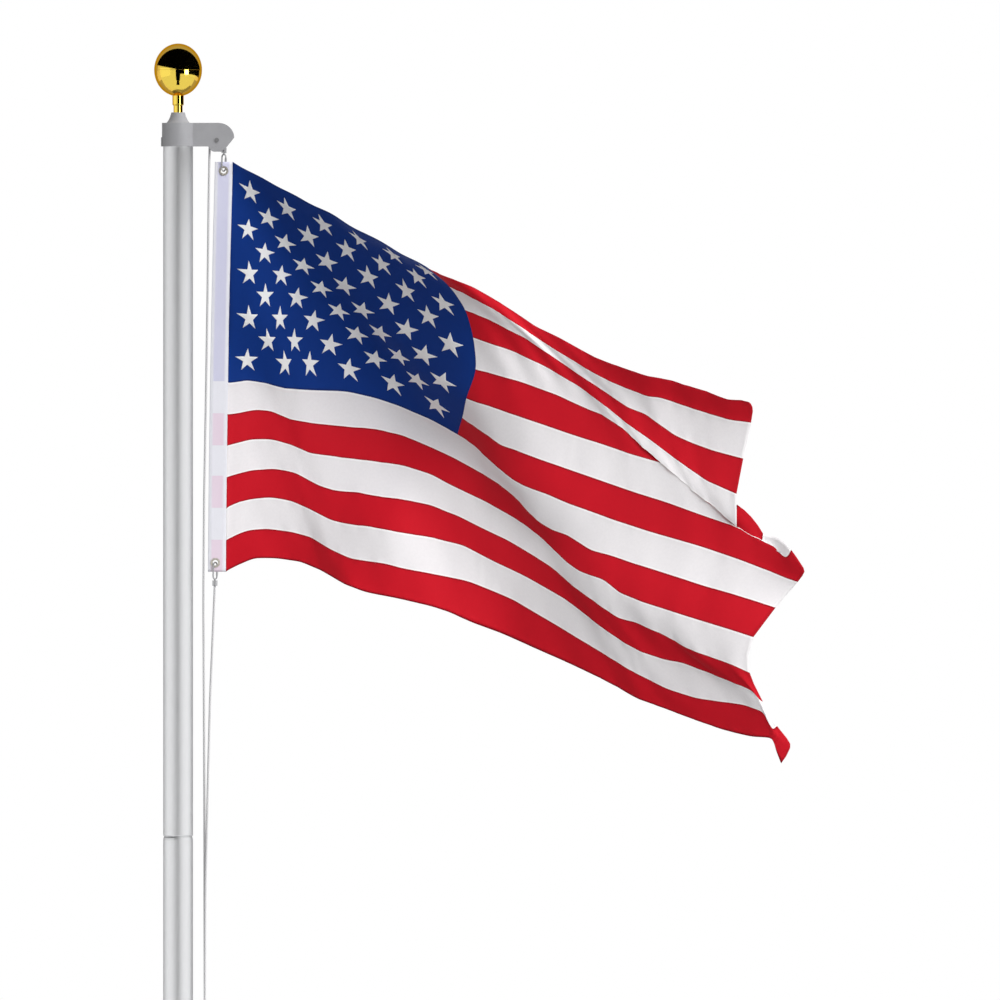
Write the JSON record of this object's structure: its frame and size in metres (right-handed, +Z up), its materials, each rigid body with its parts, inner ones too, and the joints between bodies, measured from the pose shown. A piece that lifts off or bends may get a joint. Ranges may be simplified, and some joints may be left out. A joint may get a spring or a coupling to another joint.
{
  "type": "sectional flagpole",
  "caption": "Tall sectional aluminium flagpole with a gold ball finial, a pulley truck, a halyard with snap hooks and a hoisted striped flag that swings on its swivels.",
  "frame": {"origin": "centre of the pole's butt at ground level", "axes": "+Z up along the pole, +X from the pole towards the truck's arm and the flag, -Y towards the viewer of the picture"},
  "size_m": [1.4234, 0.2908, 5.8665],
  "materials": {
    "black_plastic": "matt moulded",
    "satin_aluminium": "satin anodised",
    "grey_moulding": "satin moulded",
    "bright_steel": "bright",
    "white_nylon": "smooth moulded",
    "gold": "polished gold anodised",
    "rope": "braided",
    "blue_cloth": "woven nylon",
    "red_cloth": "woven nylon",
    "white_cloth": "woven nylon",
    "heading_tape": "canvas tape",
    "grommet_brass": "plated"
  },
  "bodies": {
    "mast": {"butt_plug": "black_plastic", "bottom_section": "satin_aluminium", "lower_middle_section": "satin_aluminium", "upper_middle_section": "satin_aluminium", "top_section": "satin_aluminium", "truck": "grey_moulding", "set_screw": "bright_steel", "sheave_pin": "bright_steel", "finial_rod": "gold", "ball_lower_half": "gold", "ball_upper_half": "gold", "halyard": "rope", "halyard_hitch": "rope", "cleat": "satin_aluminium", "cleat_screws": "bright_steel", "top_swivel": "bright_steel", "bottom_swivel": "bright_steel"},
    "sheave": {"sheave": "white_nylon"},
    "flag": {"top_snap_hook": "bright_steel", "bottom_snap_hook": "bright_steel", "flag_canton": "blue_cloth", "flag_red_stripes": "red_cloth", "flag_white_stripes": "white_cloth", "flag_heading": "heading_tape", "top_grommet": "grommet_brass", "bottom_grommet": "grommet_brass"}
  },
  "joints": [
    {"name": "sheave_spin", "type": "hinge", "parent": "mast", "child": "sheave", "pos_m": [0.0855, 0, 5.653], "axis": [0, 1, 0], "continuous": true},
    {"name": "flag_swing", "type": "hinge", "parent": "mast", "child": "flag", "pos_m": [0.1005, 0, 5.585], "axis": [0.021, 0, 0.9998], "range_deg": [-90, 90]}
  ]
}
